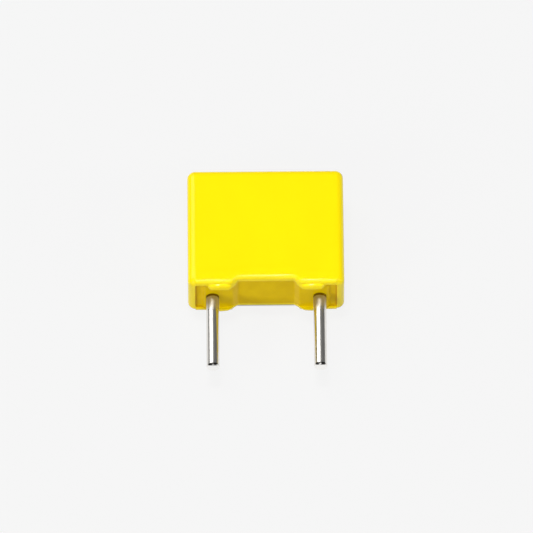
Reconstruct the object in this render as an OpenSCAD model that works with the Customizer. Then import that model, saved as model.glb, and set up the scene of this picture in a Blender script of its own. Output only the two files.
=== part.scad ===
// Boxed film capacitor with two radial leads, lying on its back.
// Every shape is drawn standing on its seating plane, with the leads down.
// laid_down() then puts it on its back: X runs along the row of leads, +Y towards the closed end
// and +Z out of the front face.
// The origin is midway between the leads, on the seating plane.

/* [Case] */
// Length of the case, along the row of leads
case_length = 7.3; // [7:0.1:9]
// Thickness of the case, from its back to its front
case_depth = 2.5; // [2.4:0.1:4]
// Height of the case over the seating plane
case_height = 6.5; // [5:0.1:11]
// Thickness of the front wall and of the back wall
face_wall = 0.28; // [0.22:0.01:0.36]
// Thickness of the two end walls
end_wall = 0.35; // [0.25:0.01:0.42]
// Thickness of the closed end
roof_wall = 0.4; // [0.3:0.01:0.8]
// Radius of the four long edges
edge_radius = 0.35; // [0.2:0.01:0.42]
// Radius of the edges round the closed end
roof_radius = 0.4; // [0.2:0.01:0.5]
// Radius of the edges round the open end, and of the feet
rim_radius = 0.18; // [0.08:0.01:0.2]

/* [Feet and notch] */
// Height of the rim over the seating plane
rim_lift = 0.175; // [0.12:0.005:0.3]
// Height of the notch across the middle, over the rim
notch_height = 0.25; // [0.15:0.01:0.4]
// Reach of a foot's bottom from its lead's axis towards the middle
foot_inward = 0.68; // [0.4:0.01:0.9]
// Reach of a foot's bottom from its lead's axis towards the end of the case
foot_outward = 0.15; // [0.05:0.01:0.3]
// How far the feet stand back from the faces of the case
foot_setback = 0.16; // [0.1:0.01:0.2]
// Thickness of a foot, one on the front wall and one on the back wall beside each lead
foot_wall = 0.29; // [0.22:0.01:0.34]
// How far a foot reaches up inside the case over the notch
foot_root = 0.3; // [0.1:0.01:0.4]

/* [Sealing resin] */
// Depth of the resin under the rim, in the corners
corner_depth = 0.12; // [0.05:0.01:0.2]
// Height of the resin over the seating plane, round the leads
collar_lift = 0.19; // [0.16:0.01:0.28]
// Reach of the resin collar from the lead's axis towards the end of the case
collar_outward = 0.38; // [0.36:0.01:0.42]
// How far the resin climbs along each lead, below the collar
climb_height = 0.12; // [0.04:0.01:0.15]
// Width of the ring of resin that climbs along each lead
climb_width = 0.06; // [0.02:0.01:0.06]
// Resin between the notch and the winding
cover_under = 0.5; // [0.4:0.01:0.8]
// Resin between the winding and the closed end
cover_over = 0.25; // [0.1:0.01:0.6]
// Resin between the winding and the front wall, and the back wall
cover_side = 0.25; // [0.1:0.01:0.35]

/* [Leads] */
// Distance between the axes of the two leads
lead_pitch = 5; // [4.8:0.01:5.2]
// Diameter of the tinned wire
lead_diameter = 0.6; // [0.5:0.01:0.62]
// Length of a lead under the seating plane
lead_length = 3.7; // [2:0.1:25]
// Chamfer that the cutter leaves round the lead's end
lead_chamfer = 0.04; // [0.01:0.01:0.08]
// How far the wire keeps its full diameter inside the resin
sealed_length = 0.02; // [0.01:0.01:0.1]
// Diameter that the buried wire narrows to at the weld
neck_diameter = 0.52; // [0.4:0.01:0.54]
// Thickness of the wire where it is pressed flat and welded on
weld_thickness = 0.34; // [0.2:0.01:0.38]
// Width of the wire where it is pressed flat and welded on
weld_width = 0.84; // [0.64:0.01:1]
// Part of the winding's height that the welded stretch covers
weld_share = 0.75; // [0.4:0.05:0.9]

/* [Winding] */
// Thickness of the sprayed metal on each end of the winding
contact_thickness = 0.3; // [0.1:0.01:0.5]
// Bare film left round each sprayed contact
contact_margin = 0.06; // [0.02:0.01:0.15]

/* [Hidden] */
$fn = 64;

yellow_plastic = [1.0, 0.87, 0.02];
yellow_resin = [0.86, 0.72, 0.03];
clear_film = [0.78, 0.78, 0.74];
sprayed_zinc = [0.62, 0.63, 0.65];
tinned_wire = [0.80, 0.79, 0.76];

over = 1;                                        // how far a cutter runs past what it cuts
notch_z = rim_lift + notch_height;
corner_z = rim_lift + corner_depth;
lead_x = lead_pitch / 2;
foot_inner_x = lead_x - foot_inward;             // the flank rises at 45 degrees from here to the notch
foot_outer_x = lead_x + foot_outward;
foot_outer_y = case_depth / 2 - foot_setback;
foot_inner_y = foot_outer_y - foot_wall;
foot_top_z = notch_z + foot_root;
collar_outer_x = lead_x + collar_outward;
resin_end_z = collar_lift - climb_height;        // where the resin ends on the lead
round_top_z = resin_end_z + sealed_length;
cavity_x = case_length / 2 - end_wall;
cavity_y = case_depth / 2 - face_wall;
cavity_z = case_height - roof_wall;
cavity_radius = max(edge_radius - face_wall, 0.05);
winding_base_z = notch_z + cover_under;
winding_top_z = cavity_z - cover_over;
winding_height = winding_top_z - winding_base_z;
winding_depth = 2 * (cavity_y - cover_side);
contact_outer_x = lead_x - weld_thickness / 2;
winding_x = contact_outer_x - contact_thickness;
weld_top_z = winding_base_z + weld_share * winding_height;

// Lays a piece that is drawn standing on its seating plane on its back.
module laid_down() {
    rotate([-90, 0, 0]) children();
}

// Draws a piece once, and once mirrored to the other side of the middle.
module both_ends() {
    children();
    mirror([1, 0, 0]) children();
}

// A rectangle from two opposite corners, with a radius at its lower and one at its upper corners.
module rounded_rectangle(low, high, lower_radius, upper_radius) {
    difference() {
        translate(low) square(high - low);
        for (side = [0, 1]) {
            translate([side == 0 ? low[0] : high[0], low[1]])
                mirror([side, 0]) corner_waste(lower_radius);
            translate([side == 0 ? low[0] : high[0], high[1]])
                mirror([side, 0]) mirror([0, 1]) corner_waste(upper_radius);
        }
    }
}

// What a round corner leaves over at the origin, in the quarter where x and y are positive.
module corner_waste(radius) {
    difference() {
        translate([-over, -over]) square(over + radius);
        translate([radius, radius]) circle(radius);
    }
}

// A prism across the whole thickness of the case, from an outline drawn in X and Z.
module through_depth(depth) {
    rotate([90, 0, 0]) linear_extrude(height = depth, center = true) children();
}

// A rounded block as long as the case whose underside is at base_z.
module case_block(base_z) {
    intersection() {
        linear_extrude(height = case_height)
            rounded_rectangle([-case_length / 2, -case_depth / 2], [case_length / 2, case_depth / 2],
                              edge_radius, edge_radius);
        through_depth(case_depth)
            rounded_rectangle([-case_length / 2, base_z], [case_length / 2, case_height],
                              rim_radius, roof_radius);
        rotate([90, 0, 90]) linear_extrude(height = case_length, center = true)
            rounded_rectangle([-case_depth / 2, base_z], [case_depth / 2, case_height],
                              rim_radius, roof_radius);
    }
}

// The outline, in X and Z, of everything between the feet that the notch leaves free.
module notch_outline(base_z) {
    flank_x = foot_inner_x - base_z;
    roof_x = foot_inner_x - notch_z;
    polygon([[-flank_x, base_z], [flank_x, base_z], [roof_x, notch_z], [-roof_x, notch_z]]);
}

// The body of the case with its notch, still solid.
module case_outside() {
    difference() {
        case_block(rim_lift);
        through_depth(case_depth + over) notch_outline(-over);
    }
    intersection() {
        case_block(notch_z);
        translate([-foot_inner_x, -case_depth, notch_z])
            cube([2 * foot_inner_x, 2 * case_depth, case_height]);
    }
}

// The four feet: two ribs beside each lead, on the front wall and on the back wall.
module feet() {
    both_ends() intersection() {
        through_depth(case_depth)
            polygon([[foot_inner_x, 0], [foot_outer_x, 0], [foot_outer_x + rim_lift, rim_lift],
                     [foot_outer_x + rim_lift, foot_top_z], [foot_inner_x - notch_z, foot_top_z],
                     [foot_inner_x - notch_z, notch_z]]);
        rotate([90, 0, 90]) linear_extrude(height = case_length) both_ends()
            rounded_foot_section();
    }
}

// Section of one foot, in Y and Z, with its outer lower edge rounded.
module rounded_foot_section() {
    difference() {
        translate([foot_inner_y, 0]) square([foot_wall, foot_top_z]);
        translate([foot_outer_y, 0]) mirror([1, 0]) corner_waste(rim_radius);
    }
}

// The space inside the case, which opens downwards.
module cavity(top_z) {
    translate([0, 0, -over]) linear_extrude(height = top_z + over)
        rounded_rectangle([-cavity_x, -cavity_y], [cavity_x, cavity_y], cavity_radius, cavity_radius);
}

module case_shape() {
    difference() {
        case_outside();
        cavity(cavity_z);
    }
    feet();
}

// The underside of the resin, as the outline in X and Z of all that is filled above it.
module resin_outline() {
    collar_x = foot_inner_x - collar_lift;
    polygon([[-cavity_x - over, corner_z],
             [-collar_outer_x - corner_z + collar_lift, corner_z], [-collar_outer_x, collar_lift],
             [-collar_x, collar_lift], [notch_z - foot_inner_x, notch_z],
             [foot_inner_x - notch_z, notch_z], [collar_x, collar_lift],
             [collar_outer_x, collar_lift], [collar_outer_x + corner_z - collar_lift, corner_z],
             [cavity_x + over, corner_z],
             [cavity_x + over, case_height], [-cavity_x - over, case_height]]);
}

// The ring of resin that climbs along the right-hand lead, narrowing towards its end.
module climbing_ring() {
    wire_r = lead_diameter / 2;
    ring_r = wire_r + climb_width;
    translate([lead_x, 0, 0]) rotate_extrude()
        polygon([[0, resin_end_z], [wire_r, resin_end_z], [ring_r, collar_lift],
                 [ring_r, collar_lift + climb_width], [0, collar_lift + climb_width]]);
}

module resin_shape() {
    difference() {
        union() {
            intersection() {
                cavity(cavity_z);
                through_depth(case_depth) resin_outline();
            }
            both_ends() climbing_ring();
        }
        feet();
        winding_shape();
        both_ends() {
            contact_shape();
            lead_shape();
        }
    }
}

// The pressed winding seen along its axis: flat sides and round ends. inset makes it smaller all round.
module winding_section(inset) {
    radius = winding_depth / 2 - inset;
    translate([0, winding_base_z + winding_depth / 2]) circle(radius);
    translate([0, winding_top_z - winding_depth / 2]) circle(radius);
    translate([-radius, winding_base_z + winding_depth / 2])
        square([2 * radius, winding_height - winding_depth]);
}

module winding_shape() {
    rotate([90, 0, 90]) linear_extrude(height = 2 * winding_x, center = true) winding_section(0);
}

// The sprayed metal on the winding's right-hand end.
module contact_shape() {
    translate([winding_x, 0, 0]) rotate([90, 0, 90])
        linear_extrude(height = contact_thickness) winding_section(contact_margin);
}

// The right-hand lead: round wire up to the resin, narrowing inside it, then pressed flat and welded on.
module lead_shape() {
    wire_r = lead_diameter / 2;
    translate([lead_x, 0, 0]) rotate_extrude()
        polygon([[0, -lead_length], [wire_r - lead_chamfer, -lead_length],
                 [wire_r, lead_chamfer - lead_length], [wire_r, round_top_z],
                 [neck_diameter / 2, winding_base_z], [0, winding_base_z]]);
    translate([contact_outer_x, 0, 0]) rotate([90, 0, 90]) linear_extrude(height = weld_thickness)
        weld_outline();
}

// The pressed stretch of a lead in Y and Z, square where it leaves the round wire and round at its top.
module weld_outline() {
    base_z = winding_base_z - weld_width / 4;
    centre_z = weld_top_z - weld_width / 2;
    translate([-weld_width / 2, base_z]) square([weld_width, centre_z - base_z]);
    translate([0, centre_z]) circle(d = weld_width);
}

module case() {
    color(yellow_plastic) laid_down() case_shape();
}

module sealing_resin() {
    color(yellow_resin) laid_down() resin_shape();
}

module film_winding() {
    color(clear_film) laid_down() winding_shape();
}

module end_contact_right() {
    color(sprayed_zinc) laid_down() contact_shape();
}

module end_contact_left() {
    color(sprayed_zinc) laid_down() mirror([1, 0, 0]) contact_shape();
}

module lead_right() {
    color(tinned_wire) laid_down() lead_shape();
}

module lead_left() {
    color(tinned_wire) laid_down() mirror([1, 0, 0]) lead_shape();
}

case();
sealing_resin();
film_winding();
end_contact_left();
end_contact_right();
lead_left();
lead_right();
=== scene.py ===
"""Looks of a boxed film capacitor with two radial leads, lying on its back.

Sizes are held in millimetres and meshes are made in metres. X runs along the row of leads, Y from
the seating plane towards the closed end of the case, and Z out of its front face.
"""

import logging
import math
from dataclasses import dataclass, field
from enum import Enum

import bpy
import numpy as np
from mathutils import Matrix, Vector


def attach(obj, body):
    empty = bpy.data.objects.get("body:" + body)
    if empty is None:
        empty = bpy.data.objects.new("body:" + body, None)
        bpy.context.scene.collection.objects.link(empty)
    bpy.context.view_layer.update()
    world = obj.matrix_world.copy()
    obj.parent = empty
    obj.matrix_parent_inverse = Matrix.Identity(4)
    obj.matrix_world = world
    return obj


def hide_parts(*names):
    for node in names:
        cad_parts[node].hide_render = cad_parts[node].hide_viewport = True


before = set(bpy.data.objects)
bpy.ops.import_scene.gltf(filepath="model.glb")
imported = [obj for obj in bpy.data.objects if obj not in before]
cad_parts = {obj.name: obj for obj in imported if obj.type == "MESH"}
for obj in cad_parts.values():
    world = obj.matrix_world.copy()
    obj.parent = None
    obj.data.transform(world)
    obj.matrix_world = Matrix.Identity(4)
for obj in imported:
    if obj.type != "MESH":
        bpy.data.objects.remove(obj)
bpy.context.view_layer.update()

MM = 0.001
BODY = "root"
log = logging.getLogger("film_capacitor")

Array = np.ndarray
Pair = tuple[float, float]
Triple = tuple[float, float, float]
Colour = Triple


class Side(Enum):
    """The two ends of the row of leads."""

    LEFT = -1
    RIGHT = 1


class SeenBy(Enum):
    """Rays that meet the pale table as it looks, by Light Path's names for them."""

    CAMERA = "Is Camera Ray"
    GLOSS = "Is Glossy Ray"
    GLASS = "Is Transmission Ray"


# -------- shapes as arrays


def smooth_min(a: Array | float, b: Array | float, blend: float) -> Array:
    """The smaller of two values, rounded where they cross.

    Formula: h is how far inside the blend width the two are, as a share from 0 to 1, and h squared
    times a quarter of the width is taken off the smaller value.

    Args:
        a: One value or array.
        b: The other.
        blend: Width over which the crossing is rounded.

    Returns:
        The blended minimum.
    """
    share = np.clip(1.0 - np.abs(a - b) / blend, 0.0, 1.0)
    return np.minimum(a, b) - share**2 * blend / 4.0


def smooth_max(a: Array | float, b: Array | float, blend: float) -> Array:
    """The larger of two values, rounded where they cross: smooth_min with both signs turned."""
    return -smooth_min(-np.asarray(a), -np.asarray(b), blend)


def ease(value: Array, low: float, high: float) -> Array:
    """A smooth step: 0 below low, 1 above high and t * t * (3 - 2 t) between them."""
    t = np.clip((value - low) / (high - low), 0.0, 1.0)
    return t * t * (3.0 - 2.0 * t)


def quarter_round(inset: Array, radius: float | Array,
                  tall: float | Array | None = None) -> Array:
    """Height of a quarter circle, or of a quarter ellipse, over its flat side.

    Formula: the full height times one less the square root of one less the square of the share of
    the radius that is left; it is the full height at the edge and 0 from one radius inwards.

    Args:
        inset: Distance from the edge inwards.
        radius: Radius of the rounding, one for all or one for each inset.
        tall: Full height of an ellipse. None is a circle's, which is its radius.

    Returns:
        The height at each inset.
    """
    left = np.clip(1.0 - inset / radius, 0.0, 1.0)
    return (radius if tall is None else tall) * (1.0 - np.sqrt(1.0 - left**2))


def quarter_turn(steps: int) -> Array:
    """Angles from 0 to a right angle in equal steps."""
    return np.linspace(0.0, math.pi / 2, steps + 1)


def full_turn(places: int) -> Array:
    """Angles once round in equal steps, each place once."""
    return np.linspace(0.0, math.tau, places, endpoint=False)


def spans(*parts: tuple[float, float, int]) -> Array:
    """Grid lines that are evenly spaced within each part.

    Args:
        parts: Start, end and number of steps of each part, in order.

    Returns:
        All lines, sorted, each once.
    """
    return np.unique(np.round(np.concatenate([np.linspace(a, b, n + 1) for a, b, n in parts]), 6))


def mirrored(lines: Array) -> Array:
    """Lines from 0 outwards, with the same lines on the other side of 0 added."""
    return np.unique(np.concatenate([-lines, lines]))


class ShellMesh:
    """Gathers closed surfaces made of grids, and turns them into one Blender object."""

    def __init__(self) -> None:
        """Starts with nothing."""
        self.points: list[Array] = []
        self.faces: list[list[int]] = []
        self.count = 0

    def _add(self, points: Array, faces: list[list[int]], inward: bool) -> None:
        """Adds one closed surface, turned so that its faces point out, or in for a hollow.

        Formula: six times the enclosed volume is the sum, over the triangles that fan out from each
        face's first corner, of corner a dotted with the cross product of corners b and c.

        Args:
            points: Corner positions, one row each, in millimetres.
            faces: Corner numbers of each face.
            inward: True for the wall of a hollow inside another surface.
        """
        fans = np.array([(f[0], f[i], f[i + 1]) for f in faces for i in range(1, len(f) - 1)])
        a, b, c = points[fans[:, 0]], points[fans[:, 1]], points[fans[:, 2]]
        volume = float(np.einsum("ij,ij->i", a, np.cross(b, c)).sum())
        if (volume < 0.0) != inward:
            faces = [f[::-1] for f in faces]
        self.points.append(points)
        self.faces.extend([[i + self.count for i in f] for f in faces])
        self.count += len(points)

    def rings(self, grid: Array, inward: bool = False) -> None:
        """Adds a tube of closed rings whose first and last rings are closed by flat caps.

        Args:
            grid: Positions as ring, place on the ring, axis.
            inward: True for the wall of a hollow.
        """
        rows, around = grid.shape[:2]
        row, place = np.meshgrid(np.arange(rows - 1), np.arange(around), indexing="ij")
        ahead = (place + 1) % around
        quads = np.stack([row * around + place, (row + 1) * around + place,
                          (row + 1) * around + ahead, row * around + ahead], axis=-1)
        first = list(range(around))
        last = list(range((rows - 1) * around, rows * around))[::-1]
        self._add(grid.reshape(-1, 3), quads.reshape(-1, 4).tolist() + [first, last], inward)

    def relief(self, x: Array, z: Array, y: Array, back_y: float) -> None:
        """Adds a block whose underside is a relief over a grid of X and Z lines.

        Args:
            x: The X lines.
            z: The Z lines.
            y: Height of the underside at each crossing, as X line, Z line.
            back_y: Height of the block's flat back.
        """
        nx, nz = len(x), len(z)
        gx, gz = np.meshgrid(x, z, indexing="ij")
        top = np.stack([gx, y, gz], axis=-1).reshape(-1, 3)
        i, j = np.meshgrid(np.arange(nx - 1), np.arange(nz - 1), indexing="ij")
        quads = np.stack([i * nz + j, (i + 1) * nz + j, (i + 1) * nz + j + 1, i * nz + j + 1],
                         axis=-1).reshape(-1, 4).tolist()
        edge = np.concatenate([np.arange(nx) * nz, (nx - 1) * nz + np.arange(1, nz),
                               np.arange(nx - 2, -1, -1) * nz + nz - 1,
                               np.arange(nz - 2, 0, -1)])
        back = top[edge].copy()
        back[:, 1] = back_y
        below = np.arange(len(edge)) + nx * nz
        sides = np.stack([np.roll(edge, -1), edge, below, np.roll(below, -1)], axis=-1).tolist()
        self._add(np.concatenate([top, back]), quads + sides + [below.tolist()], False)

    def build(self, name: str) -> bpy.types.Object:
        """Makes the object, smoothly shaded, at the origin.

        Args:
            name: Name of the piece.

        Returns:
            The new object, linked to the scene.
        """
        mesh = bpy.data.meshes.new(name)
        mesh.from_pydata((np.concatenate(self.points) * MM).tolist(), [], self.faces)
        mesh.polygons.foreach_set("use_smooth", np.ones(len(mesh.polygons), dtype=bool))
        mesh.update()
        piece = bpy.data.objects.new(name, mesh)
        bpy.context.scene.collection.objects.link(piece)
        return piece


# -------- shader maths


class Value:
    """A number that varies over a surface. Python's operators on it add Math nodes."""

    def __init__(self, graph: "Graph", socket: bpy.types.NodeSocket) -> None:
        """Wraps one output socket of a graph."""
        self.graph = graph
        self.socket = socket

    def _math(self, operation: str, first: "Value | float", second: "Value | float") -> "Value":
        """Adds one Math node with this operation on two values."""
        return self.graph.value("ShaderNodeMath", {"operation": operation}, {0: first, 1: second})

    def __add__(self, other: "Value | float") -> "Value":
        """Sum."""
        return self._math("ADD", self, other)

    def __radd__(self, other: float) -> "Value":
        """Sum with a plain number in front."""
        return self._math("ADD", other, self)

    def __sub__(self, other: "Value | float") -> "Value":
        """Difference."""
        return self._math("SUBTRACT", self, other)

    def __rsub__(self, other: float) -> "Value":
        """Difference from a plain number."""
        return self._math("SUBTRACT", other, self)

    def __mul__(self, other: "Value | float") -> "Value":
        """Product."""
        return self._math("MULTIPLY", self, other)

    def __rmul__(self, other: float) -> "Value":
        """Product with a plain number in front."""
        return self._math("MULTIPLY", other, self)

    def larger(self, other: "Value | float") -> "Value":
        """The larger of this and another value."""
        return self._math("MAXIMUM", self, other)

    def either_way(self) -> "Value":
        """The value without its sign, so that both sides of 0 are alike."""
        return self.larger(self * -1.0)

    def step(self, low: float, high: float) -> "Value":
        """A smooth step from 0 at low to 1 at high; low may be the larger of the two."""
        return self.graph.value(
            "ShaderNodeMapRange", {"interpolation_type": "SMOOTHSTEP"},
            {"Value": self, "From Min": low, "From Max": high})


Link = Value | bpy.types.NodeSocket | float | Colour | tuple[float, float, float, float]


class Graph:
    """A node tree, with one method that adds its nodes."""

    def __init__(self, tree: bpy.types.NodeTree) -> None:
        """Takes a tree and empties it."""
        self.tree = tree
        self.tree.nodes.clear()

    def node(self, kind: str, settings: dict[str, object],
             inputs: dict[int | str, Link]) -> bpy.types.Node:
        """Adds a node.

        Args:
            kind: Blender's type name of the node.
            settings: Attributes that are set before its sockets are used.
            inputs: A value or a link for each input, by name or number.

        Returns:
            The new node.
        """
        made = self.tree.nodes.new(kind)
        for name, setting in settings.items():
            setattr(made, name, setting)
        self.feed(made, inputs)
        return made

    def feed(self, node: bpy.types.Node, inputs: dict[int | str, Link]) -> None:
        """Sets or links inputs of a node that is there already.

        Args:
            node: The node.
            inputs: A value or a link for each input, by name or number.
        """
        for key, given in inputs.items():
            socket = node.inputs[key]
            if isinstance(given, Value):
                self.tree.links.new(given.socket, socket)
            elif isinstance(given, bpy.types.NodeSocket):
                self.tree.links.new(given, socket)
            elif isinstance(given, tuple) and len(given) == 3 and socket.type == "RGBA":
                socket.default_value = (*given, 1.0)
            else:
                socket.default_value = given

    def value(self, kind: str, settings: dict[str, object],
              inputs: dict[int | str, Link]) -> Value:
        """Adds a node and wraps its first output as a Value."""
        return Value(self, self.node(kind, settings, inputs).outputs[0])

    def place(self) -> bpy.types.NodeSocket:
        """Object coordinates, in metres."""
        return self.node("ShaderNodeTexCoord", {}, {}).outputs["Object"]

    def axes(self) -> tuple[Value, Value, Value]:
        """Object coordinates as three Values, in millimetres."""
        split = self.node("ShaderNodeSeparateXYZ", {}, {0: self.place()})
        return tuple(Value(self, socket) * (1.0 / MM) for socket in split.outputs)

    def stretched(self, scale: Triple) -> bpy.types.NodeSocket:
        """Object coordinates times a scale on each axis, in 1/m."""
        return self.node("ShaderNodeMapping", {},
                         {"Vector": self.place(), "Scale": scale}).outputs[0]

    def noise(self, scale: Triple, detail: float = 2.0, roughness: float = 0.5) -> Value:
        """Fractal noise from 0 to 1 around 0.5.

        Args:
            scale: Waves per metre along each axis.
            detail: Number of octaves.
            roughness: How strong each finer octave is.

        Returns:
            The noise.
        """
        return self.value("ShaderNodeTexNoise", {}, {
            "Vector": self.stretched(scale), "Scale": 1.0, "Detail": detail,
            "Roughness": roughness})

    def mix(self, factor: Value, low: Link, high: Link) -> bpy.types.NodeSocket:
        """A colour that goes from low to high as the factor goes from 0 to 1.

        Args:
            factor: Share of the high colour.
            low: Colour at 0.
            high: Colour at 1.

        Returns:
            The mixed colour.
        """
        factor_in, low_in, high_in, colour_out = 0, 6, 7, 2
        made = self.node("ShaderNodeMix", {"data_type": "RGBA"},
                         {factor_in: factor, low_in: low, high_in: high})
        return made.outputs[colour_out]

    def relief(self, height: Value, depth_mm: float) -> bpy.types.NodeSocket:
        """A normal from a height.

        Args:
            height: The relief, from 0 to 1.
            depth_mm: How deep a height of 1 is, in millimetres.

        Returns:
            The bumped normal.
        """
        return self.node("ShaderNodeBump", {}, {
            "Strength": 1.0, "Distance": depth_mm * MM, "Height": height}).outputs[0]


class SurfaceGraph(Graph):
    """The node tree of one material, with a Principled shader at its end."""

    def __init__(self, name: str) -> None:
        """Makes a material with a Principled shader and an output.

        Args:
            name: Name of the material.
        """
        self.material = bpy.data.materials.new(name)
        self.material.use_nodes = True
        super().__init__(self.material.node_tree)
        self.surface = self.node("ShaderNodeBsdfPrincipled", {}, {})
        self.output = self.node("ShaderNodeOutputMaterial", {},
                                {"Surface": self.surface.outputs[0]})


# -------- finishes


@dataclass(frozen=True)
class Finish:
    """What each finish has: a name and the way that it builds its material."""

    name: str

    def shade(self, graph: SurfaceGraph) -> None:
        """Adds the finish's own nodes. Each finish has its own version."""
        raise NotImplementedError(self.name)

    def material(self) -> bpy.types.Material:
        """Builds the material once, and keeps it for the next time.

        Returns:
            The same material each time.
        """
        if self not in BUILT:
            graph = SurfaceGraph(self.name)
            self.shade(graph)
            BUILT[self] = graph.material
        return BUILT[self]

    def dress(self, piece: bpy.types.Object) -> None:
        """Puts the finish on every slot of a piece.

        Args:
            piece: The piece, with or without slots.
        """
        material = self.material()
        if piece.data.materials:
            for index in range(len(piece.data.materials)):
                piece.data.materials[index] = material
        else:
            piece.data.materials.append(material)


BUILT: dict[Finish, bpy.types.Material] = {}


@dataclass(frozen=True)
class MouldedPlastic(Finish):
    """Opaque pigmented plastic from a polished mould: even colour, a soft gloss and a fine skin."""

    light: Colour
    deep: Colour
    gloss: float
    specular: float
    cloud_scale: Triple = (650.0, 390.0, 650.0)
    flow_scale: Triple = (1430.0, 520.0, 1430.0)
    speck_scale: Triple = (9000.0, 9000.0, 9000.0)
    peel_scale: Triple = (4050.0, 4050.0, 4050.0)
    peel_depth: float = 0.002
    flow_gloss: float = 0.08
    speck_gloss: float = 0.05

    def shade(self, graph: SurfaceGraph) -> None:
        """Pigment clouds in the colour, flow marks in the gloss and an orange-peel skin.

        Args:
            graph: The node tree.
        """
        cloud = graph.noise(self.cloud_scale, 3.0)
        speck = graph.noise(self.speck_scale, 2.0)
        tone = (cloud * 0.75 + speck * 0.25).step(0.3, 0.7)
        flow = graph.noise(self.flow_scale)
        peel = graph.noise(self.peel_scale, 3.0, 0.6)
        graph.feed(graph.surface, {
            "Base Color": graph.mix(tone, self.deep, self.light),
            "Roughness": self.gloss + (flow - 0.5) * self.flow_gloss
            + (speck - 0.5) * self.speck_gloss,
            "Specular IOR Level": self.specular,
            "Normal": graph.relief(peel * 0.7 + flow * 0.3, self.peel_depth)})


@dataclass(frozen=True)
class CastResin(Finish):
    """Casting resin that set against the air: a deeper colour, cloudy, with a wavy glossy skin."""

    light: Colour
    deep: Colour
    # thick is the colour of the painted shade near the walls of the corner pockets.
    thick: Colour
    gloss: float
    specular: float
    corner_x: float
    corner_z: float
    end_fade: float = 0.12
    wall_fade: float = 0.1
    pocket: Pair = (2.75, 2.9)
    pocket_shade_share: float = 0.8
    cloud_scale: Triple = (1400.0, 1400.0, 1400.0)
    pit_scale: Triple = (12600.0, 12600.0, 12600.0)
    wave_scale: Triple = (1260.0, 1260.0, 1260.0)
    wave_depth: float = 0.012

    def shade(self, graph: SurfaceGraph) -> None:
        """Clouds of filler in the colour, tiny pits, slow waves, and painted shade in the corner
        pockets.

        Formula: past the leads a painted shade darkens the resin towards its thick colour, over
        end_fade before the end walls and over wall_fade before the long walls.

        Args:
            graph: The node tree.
        """
        x, _, z = graph.axes()
        along, across = x.either_way(), z.either_way()
        at_end = along.step(self.corner_x - self.end_fade, self.corner_x)
        at_wall = across.step(self.corner_z - self.wall_fade, self.corner_z)
        # Painted shade: darker, more orange resin near the walls of the corner pockets.
        edge = at_end.larger(at_wall) * along.step(*self.pocket)
        cloud = graph.noise(self.cloud_scale, 4.0, 0.55)
        pits = graph.noise(self.pit_scale, 1.0).step(0.66, 0.78)
        waves = graph.noise(self.wave_scale, 1.0)
        tone = cloud.step(0.25, 0.75) * (1.0 - 0.35 * pits)
        open_colour = graph.mix(tone, self.deep, self.light)
        graph.feed(graph.surface, {
            "Base Color": graph.mix(edge * self.pocket_shade_share, open_colour, self.thick),
            "Roughness": self.gloss + (cloud - 0.5) * 0.1 + 0.2 * pits,
            "Specular IOR Level": self.specular,
            "Normal": graph.relief(waves - 0.25 * pits, self.wave_depth)})


@dataclass(frozen=True)
class TinnedWire(Finish):
    """Drawn wire, tinned bright, with fine lines along it and a sheared end."""

    bright: Colour
    dull: Colour
    cut: Colour
    # Near-black colour of the painted dark reflection on the cut end's lip.
    burr: Colour
    # Dark olive of the painted contact shade at the resin and of the painted reflection below it.
    entry_shade_and_reflection: Colour
    gloss: float
    tip_y: float
    entry_shade_y: float
    radius: float
    bare_reach: Pair = (0.03, 0.01)
    lip_reach: Pair = (0.12, 0.07)
    burr_shares: Pair = (0.5, 0.75)
    burr_gaps: Pair = (0.34, 0.42)
    entry_shade_rag: float = 0.04
    entry_shade_fade: float = 0.05
    dull_zone: Pair = (-0.8, -0.15)
    painted_reflection_share: float = 0.5
    smear_gloss: float = 0.24
    line_scale: Triple = (26000.0, 260.0, 26000.0)
    patch_scale: Triple = (1500.0, 420.0, 1500.0)
    rag_scale: Triple = (7000.0, 7000.0, 7000.0)
    line_depth: float = 0.0005

    def above_tip(self, reach: Pair) -> Pair:
        """Two places along the wire, from their distances above its tip."""
        return self.tip_y + reach[0], self.tip_y + reach[1]

    def shade(self, graph: SurfaceGraph) -> None:
        """Drawing lines along Y, patches of duller tin, the sheared end, and painted shade and
        reflections.

        Formula: the cut end is bare within bare_reach of the tip. On its lip lies a painted dark
        reflection, from a share of the radius upwards, where the ragged noise passes a threshold.
        Near the resin a painted contact shade covers the wire, from a ragged height upwards, and
        below it a painted olive reflection of the yellow underside fades in over duller tin.

        Args:
            graph: The node tree.
        """
        _, y, z = graph.axes()
        lines = graph.noise(self.line_scale, 2.0, 0.6)
        patches = graph.noise(self.patch_scale, 3.0)
        ragged = graph.noise(self.rag_scale, 1.0)
        on_end = y.step(*self.above_tip(self.bare_reach))
        # Painted dark reflection: ragged near-black patches on the upper half of the cut end's lip.
        lip = y.step(*self.above_tip(self.lip_reach))
        on_top = z.step(*(self.radius * share for share in self.burr_shares))
        burr = lip * on_top * ragged.step(*self.burr_gaps)
        # Painted olive reflection of the yellow underside below the entry, over duller, rougher
        # tin.
        dull_with_painted_reflection = y.step(*self.dull_zone)
        # Painted contact shade where the wire enters the resin.
        painted_entry_shade = (y + ragged * self.entry_shade_rag).step(self.entry_shade_y, self.entry_shade_y + self.entry_shade_fade)
        painted_entry_tint = painted_entry_shade.larger(dull_with_painted_reflection * self.painted_reflection_share)
        tin = graph.mix(patches.step(0.35, 0.7), self.bright, self.dull)
        sheared = graph.mix(burr, graph.mix(on_end, tin, self.cut), self.burr)
        graph.feed(graph.surface, {
            "Base Color": graph.mix(painted_entry_tint, sheared, self.entry_shade_and_reflection),
            "Metallic": 1.0,
            "Roughness": self.gloss + (lines - 0.5) * 0.04 + patches.step(0.5, 0.8) * 0.03
            + on_end * 0.1 + dull_with_painted_reflection * self.smear_gloss,
            "Normal": graph.relief(lines * 0.6 + ragged * 0.4, self.line_depth)})


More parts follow.
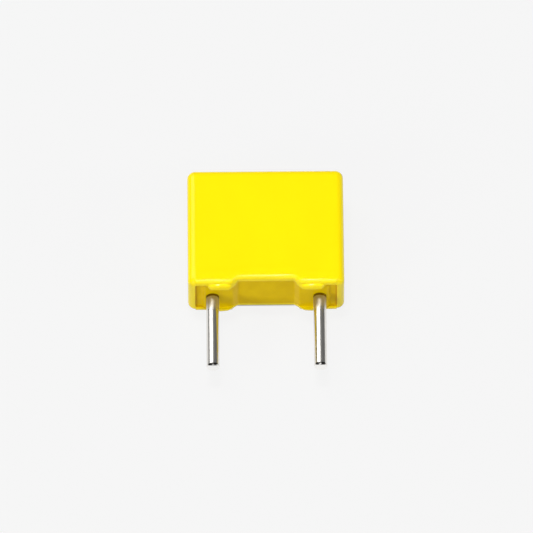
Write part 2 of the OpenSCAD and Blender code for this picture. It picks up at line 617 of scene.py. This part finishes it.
@dataclass(frozen=True)
class WoundFilm(Finish):
    """Pressed turns of metallised film: silvery, with the edges of the turns as fine lines."""

    silver: Colour
    film: Colour
    turn_pitch: float = 0.03
    turn_depth: float = 0.004
    fold_reach: float = 0.12
    fold_scale: Triple = (500.0, 500.0, 500.0)

    def shade(self, graph: SurfaceGraph) -> None:
        """Turns as thin bands across the thickness, with slow folds along the winding.

        Args:
            graph: The node tree.
        """
        _, _, z = graph.axes()
        fold = graph.noise(self.fold_scale, 2.0)
        back_and_forth = graph.value("ShaderNodeMath", {"operation": "PINGPONG"},
                                     {0: z + fold * self.fold_reach, 1: self.turn_pitch})
        turn = back_and_forth * (1.0 / self.turn_pitch)
        graph.feed(graph.surface, {
            "Base Color": graph.mix(turn, self.silver, self.film),
            "Metallic": turn.step(1.0, 0.3) * 0.8,
            "Roughness": 0.22 + turn * 0.15,
            "Normal": graph.relief(turn, self.turn_depth)})


@dataclass(frozen=True)
class SprayedZinc(Finish):
    """Sprayed zinc: grey grains that froze on each other, with darker pores."""

    grain: Colour
    pore: Colour
    grain_scale: Triple = (16000.0, 16000.0, 16000.0)
    blotch_scale: Triple = (4000.0, 4000.0, 4000.0)
    grain_depth: float = 0.03

    def shade(self, graph: SurfaceGraph) -> None:
        """Round grains from a cell pattern, dark where they meet.

        Args:
            graph: The node tree.
        """
        cell = graph.value("ShaderNodeTexVoronoi", {}, {
            "Vector": graph.stretched(self.grain_scale), "Scale": 1.0})
        blotch = graph.noise(self.blotch_scale, 3.0)
        graph.feed(graph.surface, {
            "Base Color": graph.mix(cell.step(0.25, 0.75), self.grain, self.pore),
            "Metallic": 1.0,
            "Roughness": 0.55 + blotch * 0.25,
            "Normal": graph.relief(1.0 - cell, self.grain_depth)})


@dataclass(frozen=True)
class PaleTable(Finish):
    """A plain white table. What looks at it sees mostly its pale colour, and part of its shade."""

    colour: Colour
    shown: Colour
    evenness: float
    gap_start: float
    gap_reach: float
    gap_end: Pair = (3.0, 2.0)
    gap_fade: float = 0.03
    side_fade: float = 0.1

    def shade(self, graph: SurfaceGraph) -> None:
        """Matt paint, mixed with an even pale light for camera, gloss and glass rays.

        The paint's share keeps the part's shadow. The even light fades out in a patch under the
        body's notch, so that the dark of the contact shows there.

        Args:
            graph: The node tree.
        """
        x, y, _ = graph.axes()
        between = x.either_way().step(self.gap_reach + self.side_fade,
                                      self.gap_reach - self.side_fade)
        under = y.step(self.gap_start - self.gap_fade, self.gap_start + self.gap_fade)
        gap = under * y.step(*self.gap_end) * between
        path = graph.node("ShaderNodeLightPath", {}, {})
        looked_at = Value(graph, path.outputs[SeenBy.CAMERA.value])
        for ray in (SeenBy.GLOSS, SeenBy.GLASS):
            looked_at = looked_at.larger(Value(graph, path.outputs[ray.value]))
        even = graph.node("ShaderNodeEmission", {}, {"Color": self.shown, "Strength": 1.0})
        graph.feed(graph.surface, {"Base Color": self.colour, "Roughness": 0.9,
                                   "Specular IOR Level": 0.0})
        share = looked_at * (1.0 - gap) * self.evenness
        both = graph.node("ShaderNodeMixShader", {}, {
            0: share, 1: graph.surface.outputs[0], 2: even.outputs[0]})
        graph.feed(graph.output, {"Surface": both.outputs[0]})


# -------- the moulded case


@dataclass
class MouldedCase:
    """The yellow cup: rounded outside, notched rim, four feet and the cavity for the winding."""

    finish: MouldedPlastic
    length: float = 7.3
    depth: float = 2.5
    height: float = 6.5
    face_wall: float = 0.28
    end_wall: float = 0.35
    roof_wall: float = 0.4
    edge_radius: float = 0.35
    roof_radius: float = 0.4
    rim_radius: float = 0.18
    end_rim_radius: float = 0.32
    cavity_radius: float = 0.07
    foot_radius: float = 0.28
    foot_round: float = 0.15
    foot_bulge: float = 0.31
    bulge_reach: float = 0.5
    facet_slope: float = 5.2
    facet_rise: float = 0.05
    facet_blend: float = 0.012
    flank_rise: float = 0.72
    flank_curve: float = 0.35
    rim_lift: float = 0.175
    notch_lift: float = 0.425
    notch_reach: float = 1.61
    notch_roof_reach: float = 1.395
    foot_inner: float = 1.80
    foot_outer: float = 2.65
    foot_setback: float = 0.115
    foot_wall: float = 0.28
    foot_top: float = 0.725
    foot_top_slope: float = 0.03
    foot_blend: float = 0.02
    rim_blend: float = 0.03
    ramp_before: float = 0.12
    ramp_behind: float = 0.08
    rib_inner: float = 1.45
    rib_outer: float = 2.83
    rib_fade: float = 0.02
    line_blend: float = 0.07
    inner_edge: float = 0.03
    notch_edge_share: float = 0.25
    corner_steps: int = 12
    side_steps: int = 16
    half_lines: Array = field(default_factory=lambda: spans(
        (0.0, 1.2, 12), (1.2, 1.95, 42), (1.95, 2.55, 8), (2.55, 2.95, 24), (2.95, 3.3, 7)))

    def outline(self, half_x: float, half_z: float, radius: float) -> Array:
        """Stations round a rounded rectangle, from the left end of its front side.

        Formula: the four sides carry fixed shares of their straight length, and between them each
        corner is a quarter circle in equal steps of angle. The second half is the first half turned
        by half a turn.

        Args:
            half_x: Half the length.
            half_z: Half the depth.
            radius: Radius of the corners.

        Returns:
            Positions as station, (x, z). Every outline has the same stations.
        """
        flat_x, flat_z = half_x - radius, half_z - radius
        along = mirrored(self.half_lines) / self.half_lines[-1] * flat_x
        across = np.linspace(-1.0, 1.0, self.side_steps + 1)[1:-1] * flat_z
        turn = quarter_turn(self.corner_steps)
        sin, cos = np.sin(turn) * radius, np.cos(turn) * radius
        front = np.stack([along, np.full_like(along, half_z)], -1)
        right_top = np.stack([flat_x + sin, flat_z + cos], -1)[1:]
        right = np.stack([np.full_like(across, half_x), -across], -1)
        half = np.concatenate([front, right_top, right, (right_top * (1, -1))[::-1]])
        return np.concatenate([half, -half])

    @property
    def cavity(self) -> Pair:
        """Half the length and half the depth of the cavity."""
        return self.length / 2 - self.end_wall, self.depth / 2 - self.face_wall

    @property
    def rib_depth(self) -> float:
        """How far a rib stands into the cavity."""
        return self.foot_setback + self.foot_wall - self.face_wall

    def rim_line(self, x: Array) -> Array:
        """Height of the rim along the long walls.

        Formula: a level, then a straight flank up to the notch, with both corners rounded.

        Args:
            x: Place along the case.

        Returns:
            The height at each place.
        """
        slope = (self.notch_lift - self.rim_lift) / (self.notch_reach - self.notch_roof_reach)
        flank = self.rim_lift + (self.notch_reach - np.abs(x)) * slope
        lower = smooth_max(flank, self.rim_lift, self.line_blend)
        return smooth_min(lower, self.notch_lift, self.line_blend)

    def flank(self, x: Array) -> Array:
        """Height of the slope inwards of a foot: rise times d plus curve times signed d squared."""
        past = self.foot_inner - np.abs(x)
        return self.flank_rise * past + self.flank_curve * past * np.abs(past)

    def foot_line(self, x: Array) -> Array:
        """Height of the feet's undersides: level, a flank inwards and 45 degrees outwards."""
        slopes = smooth_max(self.flank(x), np.abs(x) - self.foot_outer, self.foot_blend)
        return smooth_max(slopes, 0.0, self.line_blend)

    def thickening(self, x: Array) -> Array:
        """Share of a foot's full thickness: 1 along the foot, 0 at the notch."""
        start, end = self.notch_roof_reach - self.ramp_before, self.foot_inner + self.ramp_behind
        return ease(np.abs(x), start, end)

    def setback(self, x: Array) -> Array:
        """How far a foot's front stands back: least in its middle, and nothing at the notch.

        Formula: the setback plus the bulge times the square of the distance from the foot's
        middle, which outwards counts up to bulge_reach, all times the share of thickness.

        Args:
            x: Place along the case.

        Returns:
            The distance at each place.
        """
        middle = (self.foot_inner + self.foot_outer) / 2
        bulge = self.foot_bulge * np.minimum(np.abs(x) - middle, self.bulge_reach)**2
        return self.thickening(x) * (self.foot_setback + bulge)

    def underside(self, x: Array, inset: Array, notched: Array) -> Array:
        """Height of the wall's end face: the lower of the rounded rim and the foot set back on it.

        Formula: the rim is a quarter circle. The foot is a quarter ellipse with a steep facet
        before it, and rises six times as fast in front of its setback. Where there is no foot its
        height is far above the rim's.

        Args:
            x: Place along the case.
            inset: Distance from the outside inwards.
            notched: 1 on the long walls, 0 on the end walls and corners.

        Returns:
            The height at each place.
        """
        level = self.rim_lift + (self.rim_line(x) - self.rim_lift) * notched
        radius = self.rim_radius + (self.end_rim_radius - self.rim_radius) * (1.0 - notched)
        wall = level + quarter_round(inset, radius)
        thick = self.thickening(x)
        ahead, steep, far_above = 0.02, 6.0, 9.0
        front = np.clip(inset - self.setback(x), -ahead, None)
        foot = quarter_round(
            np.maximum(front, 0.0), self.rim_radius + (self.foot_radius - self.rim_radius) * thick,
            self.rim_radius + (self.foot_round - self.rim_radius) * thick)
        facet = self.foot_round + self.facet_rise - front * self.facet_slope
        foot = foot + (smooth_max(foot, facet, self.facet_blend) - foot) * thick
        foot = self.foot_line(x) + foot - np.minimum(front, 0.0) * steep
        foot = np.where((front > -0.95 * ahead) & (notched > 0.5), foot, far_above)
        return smooth_min(wall, foot, self.rim_blend)

    def build(self) -> bpy.types.Object:
        """Carries one profile round the outline: roof, wall, rim with the feet, cavity.

        Formula: a ring stands at an inset, a share of the way from the outer outline to the
        cavity's. Round the roof the inset and height follow a quarter circle. Under the rim the
        insets of the bare wall and of a footed one are mixed by the share of rib at each station.

        Returns:
            The finished piece.
        """
        half_x, half_z = self.length / 2, self.depth / 2
        outer = self.outline(half_x, half_z, self.edge_radius)
        inner = self.outline(*self.cavity, self.cavity_radius)
        wall = np.linalg.norm(outer - inner, axis=1)
        on_face = np.abs(outer[:, 1]) > half_z - 1e-6
        x = outer[:, 0]
        wall = np.where(on_face, self.face_wall, wall)
        notched = on_face.astype(float)
        inside, outside = (ease(np.abs(x), end - self.rib_fade, end + self.rib_fade)
                           for end in (self.rib_inner, self.rib_outer))
        rib = notched * inside * (1.0 - outside)
        reach = wall + rib * self.rib_depth

        def at(inset: Array, y: Array) -> Array:
            """The ring at a distance inwards from the outside, at a height."""
            plan = outer + (inner - outer) * (inset / wall)[:, None]
            return np.stack([plan[:, 0], np.broadcast_to(y, plan[:, 0].shape), plan[:, 1]], -1)

        smallest_radius = 0.006
        rings: list[Array] = []
        for turn in quarter_turn(12):
            inset = self.roof_radius * (1.0 - math.sin(turn))
            radius = max(self.edge_radius * (1.0 - inset / self.roof_radius), smallest_radius)
            plan = self.outline(half_x - inset, half_z - inset, radius)
            y = self.height - self.roof_radius * (1.0 - math.cos(turn))
            rings.append(np.stack([plan[:, 0], np.full(len(plan), y), plan[:, 1]], -1))

        edge_y = self.underside(x, np.zeros_like(x), notched)
        wall_top = self.height - self.roof_radius
        for share in np.linspace(0.0, 1.0, 13)[1:-1]:
            rings.append(at(np.zeros_like(x), wall_top + (edge_y - wall_top) * share))

        turn = quarter_turn(24)
        level = np.linspace(self.rim_radius, self.face_wall - self.inner_edge, 18)[1:]
        plain = np.concatenate([self.rim_radius * (1.0 - np.cos(turn)), level])
        nearly_there = 0.98
        before = nearly_there * (1.0 - np.cos(quarter_turn(13)[:-1]))
        behind = np.linspace(0.0, 1.0, len(plain) - len(before))**2
        setback = self.setback(x)
        beyond = reach - self.inner_edge - setback
        set_back = [setback * share for share in before]
        set_back += [setback + beyond * share for share in behind]
        stretch = (wall - self.inner_edge) / (self.face_wall - self.inner_edge)
        for bare, footed in zip(plain, set_back, strict=True):
            inset = footed * rib + bare * stretch * (1.0 - rib)
            rings.append(at(inset, self.underside(x, inset, notched)))

        last_y = self.underside(x, reach - self.inner_edge, notched)
        in_notch = notched * (1.0 - ease(np.abs(x), self.notch_roof_reach, self.notch_reach))
        lip = self.inner_edge * (1.0 - (1.0 - self.notch_edge_share) * in_notch)
        for angle in quarter_turn(4)[1:]:
            rings.append(at(reach - self.inner_edge * (1.0 - math.sin(angle)),
                            last_y + lip * (1.0 - math.cos(angle))))
        for share in (0.25, 0.5, 0.75, 1.0):
            rings.append(at(reach, last_y + lip + (self.foot_top - last_y - lip) * share))
        ceiling = self.height - self.roof_wall
        for y in np.linspace(self.foot_top + self.foot_top_slope, ceiling, 5):
            rings.append(at(wall, y))

        shell = ShellMesh()
        shell.rings(np.stack(rings))
        piece = shell.build("moulded_case")
        self.finish.dress(piece)
        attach(piece, BODY)
        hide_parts("case")
        return piece


# -------- the casting resin


@dataclass
class SealingResin:
    """The resin in the cavity: collars round the leads, corner pockets and a flush notch."""

    finish: CastResin
    case: MouldedCase
    collar_lift: float = 0.19
    collar_outer: float = 2.88
    corner_lift: float = 0.295
    meniscus: float = 0.035
    meniscus_width: float = 0.045
    wetting: Pair = (1.9, 2.1)
    under_flank: float = 0.003
    over_notch: float = 0.004
    pocket_blend: float = 0.04
    flank_blend: float = 0.03
    skin_blend: float = 0.05
    rib_end: Pair = (2.80, 2.86)
    foot_edge: Pair = (-0.004, 0.012)
    foot_gap: float = 0.03
    overlap: float = 0.008
    winding_reach: float = 2.33
    winding_base: float = 0.925
    winding_top: float = 5.85
    winding_depth: float = 1.44

    def underside(self, x: Array, z: Array) -> Array:
        """Height of the resin's skin.

        Formula: the collar's height, raised past the collar's outer end at 45 degrees to the corner
        pockets and past its inner end along the feet's flank to the notch, and lowered near every
        wall by a meniscus that falls off as an exponential of the distance. Inwards of wetting
        there is no meniscus, and the skin stands foot_gap back beside the feet's inner faces.

        Args:
            x: Place along the case.
            z: Place across the case.

        Returns:
            The height at each place.
        """
        reach = np.abs(x)
        half_x, half_z = self.case.cavity
        flank = self.case.flank(x) - self.under_flank
        past_collar = self.collar_lift + reach - self.collar_outer
        pocket = smooth_min(past_collar, self.corner_lift, self.pocket_blend)
        skin = smooth_max(flank, pocket, self.flank_blend)
        skin = smooth_max(skin, self.collar_lift, self.skin_blend)
        skin = smooth_min(skin, self.case.notch_lift + self.over_notch, self.skin_blend)
        ribbed = self.case.thickening(x) * (1.0 - ease(reach, *self.rib_end))
        wall_z = half_z - ribbed * self.case.rib_depth
        start, end = self.foot_edge
        at_foot = ease(np.abs(z), wall_z + start, wall_z + end) * (reach < self.wetting[0])
        at_wall = np.exp(-np.clip(wall_z - np.abs(z), 0.0, None) / self.meniscus_width)
        at_end = np.exp(-np.clip(half_x - reach, 0.0, None) / self.meniscus_width)
        climb = np.maximum(at_wall, at_end) * ease(reach, *self.wetting)
        return skin - self.meniscus * climb + self.foot_gap * at_foot

    def build(self) -> bpy.types.Object:
        """Makes the block with its relief underside and the hollow that the winding fills.

        Formula: the hollow's section is two half circles, moved apart by its straight length.

        Returns:
            The finished piece.
        """
        half_x, half_z = (half + self.overlap for half in self.case.cavity)
        # Closest at the notch's ends and round the collars, where the skin curves.
        x = mirrored(spans((0.0, 1.2, 8), (1.2, 1.7, 20), (1.7, 2.1, 8), (2.1, 2.9, 56),
                           (2.9, 3.1, 12), (3.1, half_x, 14)))
        z = mirrored(spans((0.0, 0.42, 30), (0.42, 0.62, 6), (0.62, half_z, 22)))
        gx, gz = np.meshgrid(x, z, indexing="ij")
        shell = ShellMesh()
        shell.relief(x, z, self.underside(gx, gz), self.case.height - self.case.roof_wall)

        angle = full_turn(64)
        radius = self.winding_depth / 2
        straight = (self.winding_top - self.winding_base) / 2 - radius
        middle = (self.winding_top + self.winding_base) / 2
        y = middle + radius * np.sin(angle) + straight * np.sign(np.sin(angle + 1e-9))
        section = np.stack([y, radius * np.cos(angle)], -1)
        ends = np.array([-self.winding_reach, self.winding_reach])
        hollow = np.stack([np.column_stack([np.full(len(angle), end), section]) for end in ends])
        shell.rings(hollow, inward=True)
        piece = shell.build("cast_resin")
        self.finish.dress(piece)
        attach(piece, BODY)
        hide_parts("sealing_resin")
        return piece


# -------- the leads


@dataclass
class WireLead:
    """One lead: round wire with a sheared end, a neck inside the resin and a flat stretch."""

    finish: TinnedWire
    side: Side
    pitch: float = 5.0
    diameter: float = 0.6
    length: float = 3.7
    neck: float = 0.52
    weld_thickness: float = 0.34
    weld_width: float = 0.84
    round_top: float = 0.19
    neck_y: float = 0.66
    flat_y: float = 0.9
    top_y: float = 4.6188
    tip_curve: float = 0.07
    tip_round: float = 0.035
    wide_wave: float = 0.012
    narrow_wave: float = 0.006
    squareness: float = 1.2
    around: int = 96

    def build(self) -> bpy.types.Object:
        """Carries a section along the wire that is a circle below and a flat oval above.

        Formula: the section is a superellipse, cosine and sine raised to a power of 1 for the round
        wire and less for the flat stretch, and its half widths ease from the one to the other. The
        flat stretch's far end is half a circle. Near the tip both half widths shrink by a quarter
        circle whose depth wavers round the wire.

        Returns:
            The finished piece.
        """
        tip = -self.length
        end_radius = self.weld_width / 2
        end_y = self.top_y - end_radius
        y = np.concatenate([
            tip + self.tip_curve * (1.0 - np.cos(quarter_turn(11))),
            spans((tip + self.tip_curve + 0.01, self.round_top, 70),
                  (self.round_top, self.neck_y, 12), (self.neck_y, self.flat_y, 18),
                  (self.flat_y, end_y, 24)),
            end_y + end_radius * np.sin(quarter_turn(15))[1:]])
        gy, turn = np.meshgrid(y, full_turn(self.around), indexing="ij")
        taper = np.clip((gy - self.round_top) / (self.neck_y - self.round_top), 0.0, 1.0)
        round_half = (self.diameter + (self.neck - self.diameter) * taper) / 2
        flat = ease(gy, self.neck_y, self.flat_y)
        past_end = np.clip((gy - end_y) / end_radius, 0.0, 1.0)
        end = np.sqrt(np.clip(1.0 - past_end**2, 1e-4, 1.0))
        half_x = round_half + (self.weld_thickness / 2 - round_half) * flat
        half_z = (round_half + (self.weld_width / 2 - round_half) * flat) * end
        power = 1.0 / (1.0 + self.squareness * flat)
        waver = self.wide_wave * np.sin(2 * turn + 0.6) + self.narrow_wave * np.sin(5 * turn)
        rounding = self.tip_round + waver
        shrink = quarter_round(gy - tip, self.tip_curve) / self.tip_curve * rounding
        cos, sin = np.cos(turn), np.sin(turn)
        axis_x = self.side.value * self.pitch / 2
        x = axis_x + (half_x - shrink) * np.sign(cos) * np.abs(cos)**power
        z = (half_z - shrink) * np.sign(sin) * np.abs(sin)**power
        shell = ShellMesh()
        shell.rings(np.stack([x, gy, z], -1))
        piece = shell.build(f"tinned_lead_{self.side.name.lower()}")
        self.finish.dress(piece)
        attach(piece, BODY)
        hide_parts(f"lead_{self.side.name.lower()}")
        return piece


@dataclass
class WindingPack:
    """The winding and its sprayed ends, which are the CAD's own solids with better finishes."""

    film: WoundFilm
    zinc: SprayedZinc

    def build(self) -> list[bpy.types.Object]:
        """Dresses the three nodes.

        Returns:
            The winding, then its left and right end.
        """
        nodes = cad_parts
        self.film.dress(nodes["film_winding"])
        ends = [nodes["end_contact_left"], nodes["end_contact_right"]]
        for end in ends:
            self.zinc.dress(end)
        return [nodes["film_winding"], *ends]


# -------- the studio


@dataclass(frozen=True)
class Softbox:
    """A flat lamp that looks at the part. Away is in metres, and spread in degrees."""

    name: str
    towards: Triple
    away: float
    spread: Pair
    radiance: float

    def build(self) -> bpy.types.Object:
        """Places the lamp.

        Formula: each side is twice the distance times the tangent of half its spread, and its power
        is its radiance times its area times pi.

        Returns:
            The lamp.
        """
        lamp = bpy.data.lights.new(self.name, "AREA")
        lamp.shape = "RECTANGLE"
        lamp.size, lamp.size_y = (2.0 * self.away * math.tan(math.radians(side) / 2.0)
                                  for side in self.spread)
        lamp.energy = self.radiance * lamp.size * lamp.size_y * math.pi
        made = bpy.data.objects.new(self.name, lamp)
        direction = Vector(self.towards).normalized()
        made.location = direction * self.away
        made.rotation_euler = direction.to_track_quat("Z", "Y").to_euler()
        bpy.context.scene.collection.objects.link(made)
        return made


@dataclass(frozen=True)
class DimRoom:
    """The room behind the lamps: an even grey, dark low in front."""

    grey: Colour
    dark: Colour

    def build(self) -> bpy.types.World:
        """Makes the world, whose grey depends on a ray's direction alone.

        Returns:
            The world.
        """
        world = bpy.data.worlds.new("dim_room")
        world.use_nodes = True
        graph = Graph(world.node_tree)
        direction = graph.node("ShaderNodeTexCoord", {}, {}).outputs["Generated"]
        split = graph.node("ShaderNodeSeparateXYZ", {}, {0: direction})
        _, y, z = (Value(graph, socket) for socket in split.outputs)
        low_front = y.step(-0.25, -0.6) * z.step(0.6, 0.4)
        shade = graph.node("ShaderNodeBackground", {}, {
            "Color": graph.mix(low_front, self.grey, self.dark), "Strength": 1.0})
        graph.node("ShaderNodeOutputWorld", {}, {"Surface": shade.outputs[0]})
        return world


@dataclass(frozen=True)
class Studio:
    """Table, lamps, dim room and camera."""

    table: PaleTable
    lamps: tuple[Softbox, ...]
    room: DimRoom
    table_z: float = -1.25
    table_reach: float = 3000.0
    aim: Triple = (0.03, 1.84, 0.0)
    azimuth: float = -0.5
    elevation: float = 57.7
    distance: float = 600.0
    pixels_per_mm: float = 21.4
    picture_width: int = 533
    sensor_width: float = 36.0

    def build(self) -> None:
        """Sets up everything round the part."""
        scene = bpy.context.scene
        scene.view_settings.view_transform = "Standard"
        scene.world = self.room.build()
        for lamp in self.lamps:
            lamp.build()
        self._table()
        scene.camera = self._camera()

    def _table(self) -> None:
        """The table top, a square sheet under the part."""
        reach = self.table_reach * MM
        mesh = bpy.data.meshes.new("table_top")
        corners = [(sx * reach, sy * reach, self.table_z * MM)
                   for sx, sy in ((-1, -1), (1, -1), (1, 1), (-1, 1))]
        mesh.from_pydata(corners, [], [(0, 1, 2, 3)])
        top = bpy.data.objects.new("table_top", mesh)
        bpy.context.scene.collection.objects.link(top)
        self.table.dress(top)

    def _camera(self) -> bpy.types.Object:
        """A long lens far away.

        Formula: the focal length is the wished pixels per millimetre times the distance times the
        sensor's width, over the picture's width in pixels.

        Returns:
            The camera.
        """
        data = bpy.data.cameras.new("camera")
        data.sensor_width = self.sensor_width
        data.lens = self.pixels_per_mm * self.distance * self.sensor_width / self.picture_width
        data.clip_start = 0.001
        data.clip_end = 20.0
        camera = bpy.data.objects.new("camera", data)
        turn, lift = math.radians(self.azimuth), math.radians(self.elevation)
        back = Vector((math.sin(turn) * math.cos(lift), -math.cos(turn) * math.cos(lift),
                       math.sin(lift)))
        camera.location = (Vector(self.aim) + back * self.distance) * MM
        camera.rotation_euler = back.to_track_quat("Z", "Y").to_euler()
        bpy.context.scene.collection.objects.link(camera)
        return camera


def studio() -> Studio:
    """The table, the lamps and the room."""
    return Studio(
        table=PaleTable("pale_table", colour=(0.4, 0.4, 0.4), shown=(1.0, 1.0, 1.0),
                        evenness=0.85, gap_start=0.475, gap_reach=1.45),
        lamps=(
            Softbox("overhead_softbox", (-0.07, 0.2, 1.0), 0.45, (14.0, 7.0), 44.0),
            Softbox("back_left_softbox", (-0.473, 0.534, 0.70), 0.5, (37.0, 37.0), 2.1),
            Softbox("front_softbox", (-0.15, -0.85, 0.9), 0.5, (76.0, 76.0), 0.92),
            Softbox("right_softbox", (0.9, -0.24, 0.36), 0.5, (14.0, 14.0), 12.0),
            Softbox("left_softbox", (-0.8, -0.6, 0.35), 0.5, (16.0, 16.0), 11.0),
        ),
        room=DimRoom(grey=(0.14, 0.14, 0.14), dark=(0.02, 0.02, 0.02)))


def film_capacitor() -> list[bpy.types.Object]:
    """Builds the four visible pieces and dresses the three hidden ones.

    Returns:
        All seven.
    """
    case = MouldedCase(MouldedPlastic(
        "yellow_moulded_plastic", light=(0.99, 0.785, 0.001), deep=(0.975, 0.765, 0.001),
        gloss=0.09, specular=0.26))
    resin = SealingResin(CastResin(
        "yellow_casting_resin", light=(0.86, 0.60, 0.002), deep=(0.80, 0.54, 0.002),
        # thick is the painted shade near the walls of the corner pockets.
        thick=(0.62, 0.30, 0.001), gloss=0.12, specular=0.03, corner_x=3.3, corner_z=0.97), case)
    wire = TinnedWire(
        "bright_tin", bright=(0.86, 0.84, 0.80), dull=(0.76, 0.74, 0.70), cut=(0.97, 0.96, 0.94),
        # The near-black colour is a painted dark reflection on the tip's lip; the dark olive is
        # painted shade and reflection near the resin.
        burr=(0.03, 0.028, 0.025), entry_shade_and_reflection=(0.22, 0.16, 0.02), gloss=0.23, tip_y=-3.7,
        entry_shade_y=0.05, radius=0.3)
    winding = WindingPack(
        WoundFilm("wound_film", silver=(0.80, 0.80, 0.82), film=(0.62, 0.60, 0.52)),
        SprayedZinc("sprayed_zinc", grain=(0.62, 0.63, 0.65), pore=(0.22, 0.22, 0.23)))
    pieces = [case.build(), resin.build()]
    pieces += [WireLead(wire, side).build() for side in Side]
    return pieces + winding.build()


def main() -> None:
    """Sets up the studio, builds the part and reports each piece."""
    logging.basicConfig(level=logging.INFO, format="%(name)s: %(message)s")
    studio().build()
    for piece in film_capacitor():
        log.info("%s: %d faces", piece.name, len(piece.data.polygons))


if __name__ == "__main__":
    main()
